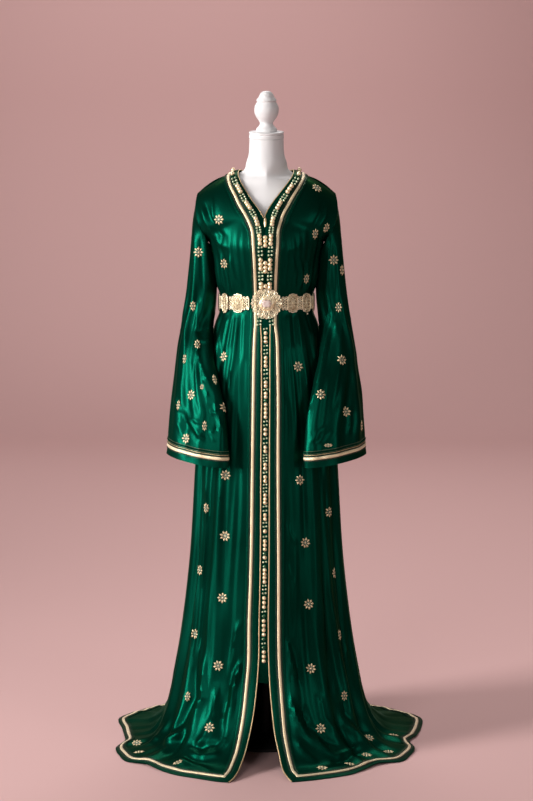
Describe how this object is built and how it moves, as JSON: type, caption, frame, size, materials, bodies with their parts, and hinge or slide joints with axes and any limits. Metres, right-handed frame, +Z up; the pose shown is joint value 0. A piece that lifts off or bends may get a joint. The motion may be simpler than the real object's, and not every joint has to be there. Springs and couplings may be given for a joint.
{
  "type": "moroccan kaftan on a dress form",
  "caption": "Floor-length satin kaftan with a v neck, wide sleeves, braided edges, a buttoned front and a metal belt, worn by a limbless dress form on a stand.",
  "frame": {"origin": "centre of the stand's base where it meets the floor", "axes": "+Z up, -Y to the front, +X to the wearer's left"},
  "size_m": [0.7916, 0.7808, 1.6196],
  "materials": {
    "satin": "glossy emerald satin with a soft sheen",
    "braid": "woven metallic braid, pale gold",
    "buttons": "knotted metallic thread",
    "belt": "cast and pierced, satin gilt",
    "stone": "cut clear stone",
    "form": "smooth matte white",
    "stand": "satin black"
  },
  "bodies": {
    "root": {"back": "satin", "band_back_hem": "satin", "band_back_neck": "satin", "band_left": "satin", "band_right": "satin", "beads_left": "buttons", "beads_right": "buttons", "belt_link_left_1": "belt", "belt_link_left_2": "belt", "belt_link_left_3": "belt", "belt_link_left_4": "belt", "belt_link_left_5": "belt", "belt_link_left_6": "belt", "belt_link_left_7": "belt", "belt_link_right_1": "belt", "belt_link_right_2": "belt", "belt_link_right_3": "belt", "belt_link_right_4": "belt", "belt_link_right_5": "belt", "belt_link_right_6": "belt", "belt_link_right_7": "belt", "belt_medallion": "belt", "belt_plate_back": "belt", "belt_plate_left_1": "belt", "belt_plate_left_2": "belt", "belt_plate_left_3": "belt", "belt_plate_left_4": "belt", "belt_plate_left_5": "belt", "belt_plate_left_6": "belt", "belt_plate_right_1": "belt", "belt_plate_right_2": "belt", "belt_plate_right_3": "belt", "belt_plate_right_4": "belt", "belt_plate_right_5": "belt", "belt_plate_right_6": "belt", "belt_setting": "belt", "belt_stone": "stone", "braid_back_hem": "braid", "braid_back_neck": "braid", "braid_cuff_left": "braid", "braid_cuff_right": "braid", "braid_left": "braid", "braid_right": "braid", "buttons_bodice": "buttons", "buttons_skirt": "buttons", "form_finial": "form", "form_neck_cap": "form", "form_torso": "form", "front_left": "satin", "front_right": "satin", "placket": "satin", "sleeve_left": "satin", "sleeve_right": "satin", "stand_base": "stand", "stand_pole": "stand"}
  },
  "joints": []
}
